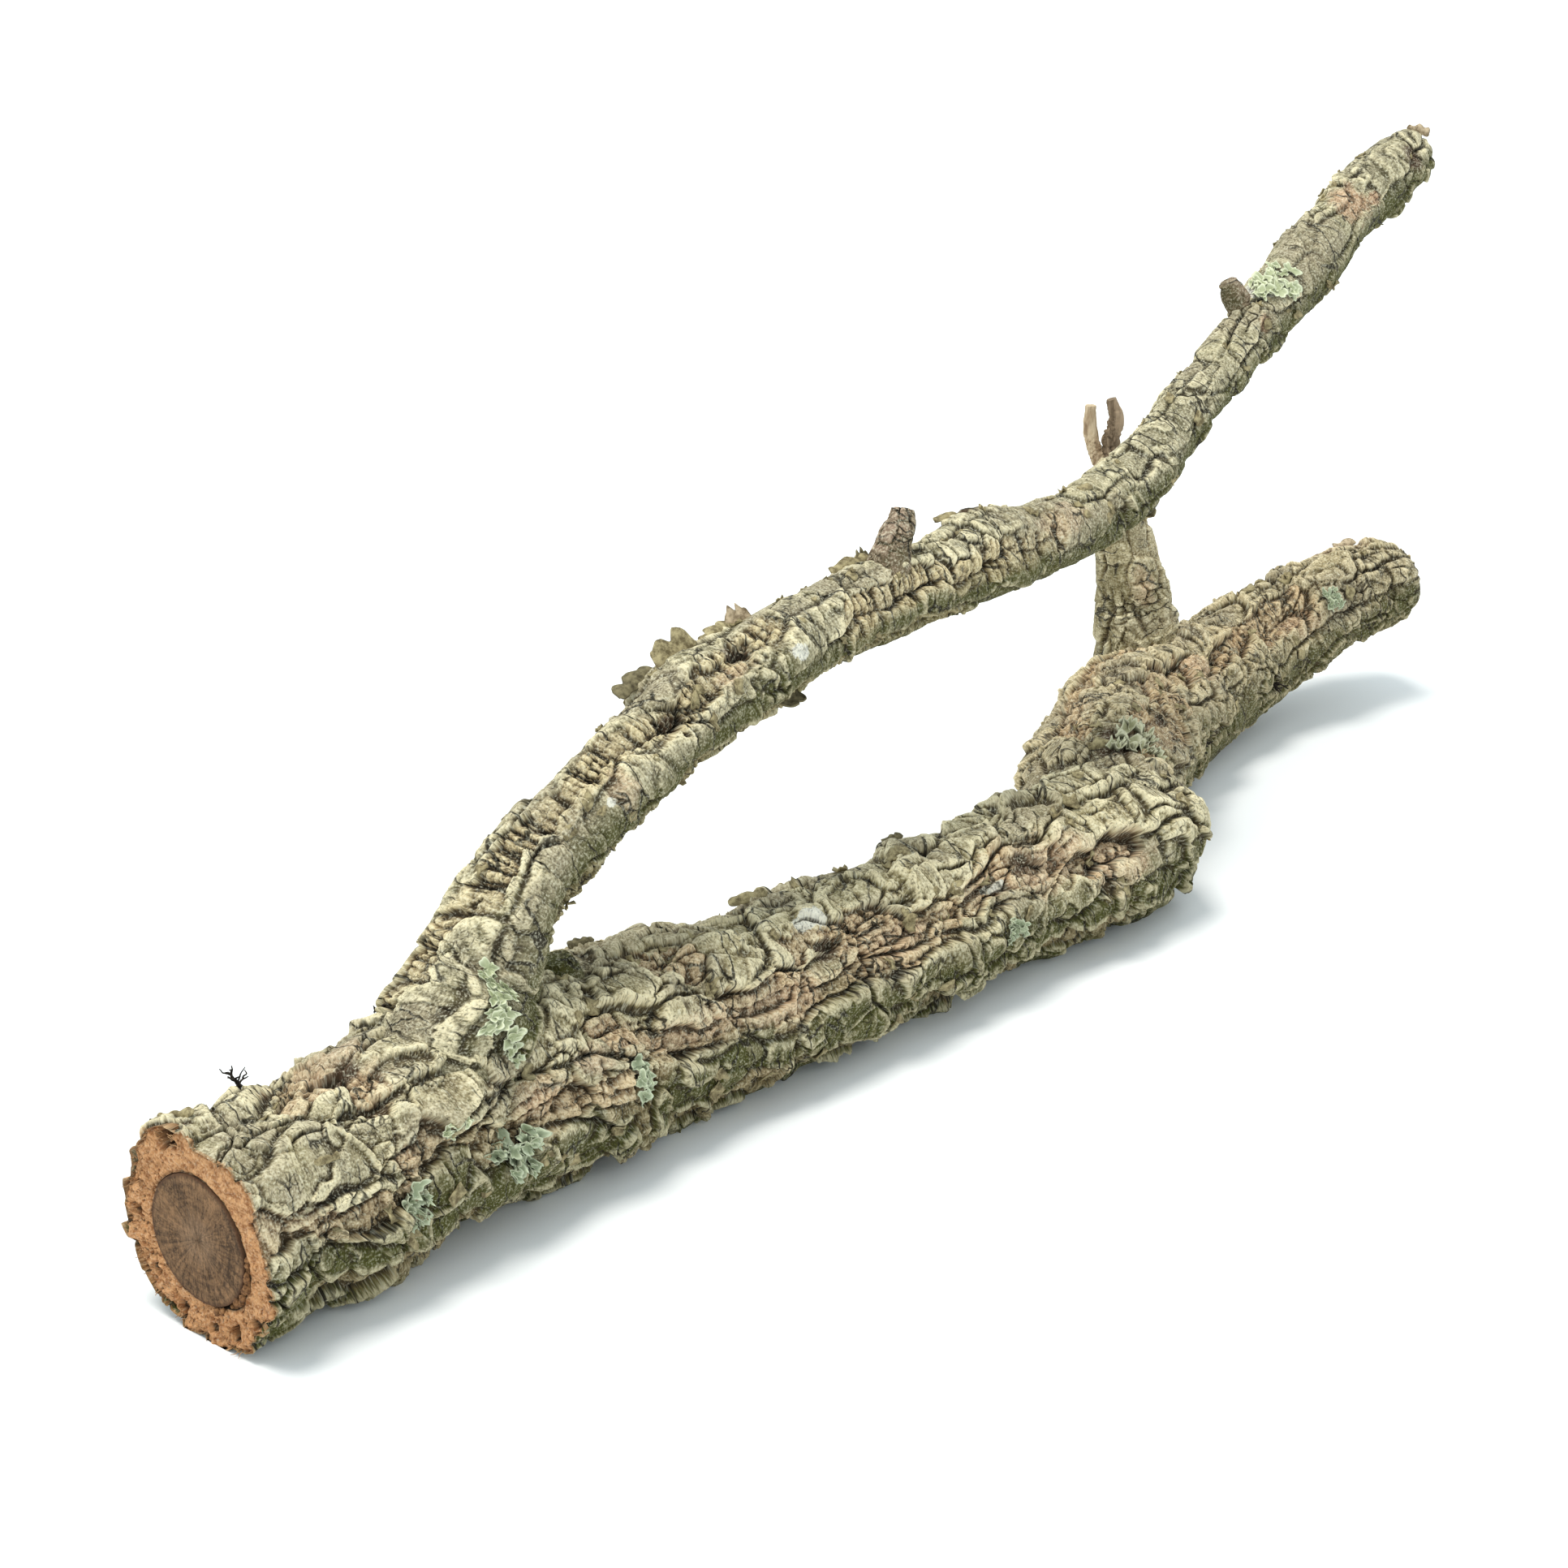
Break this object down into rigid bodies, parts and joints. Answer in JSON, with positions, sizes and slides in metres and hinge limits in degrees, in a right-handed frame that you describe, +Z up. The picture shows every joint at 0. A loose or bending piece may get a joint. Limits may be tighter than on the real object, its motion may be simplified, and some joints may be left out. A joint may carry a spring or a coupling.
{
  "type": "fallen tree branch",
  "caption": "Fallen cork-barked branch: a thick sawn stem with deep corky furrows, an arched limb rising high beside it, a rear limb, an upright twig and crusts of lichen.",
  "frame": {"origin": "middle of the whole branch's bounding box, on the plane that it lies on", "axes": "+Z up; +X along the thick stem, away from its sawn end; -Y the side with the deepest furrows"},
  "size_m": [0.5918, 0.1216, 0.2111],
  "materials": {
    "cork_bark": "rough furrowed cork bark",
    "thin_bark": "matte flaky bark",
    "twig_bark": "matte fine bark",
    "heartwood": "sawn, dry",
    "bare_wood": "split, weathered smooth",
    "lichen": "dry, matte crust"
  },
  "bodies": {
    "root": {"main_stem": "cork_bark", "wood_core": "heartwood", "upper_limb": "thin_bark", "back_limb": "cork_bark", "upright_twig": "twig_bark", "bare_twig_wood": "bare_wood", "lichen_fork": "lichen", "lichen_near_block": "lichen", "lichen_twin_lobes": "lichen", "lichen_near_saw_cut": "lichen", "lichen_mid_stem": "lichen", "lichen_far_stem": "lichen", "lichen_elbow": "lichen", "lichen_rear_limb": "lichen", "lichen_high_limb": "lichen"}
  },
  "joints": []
}
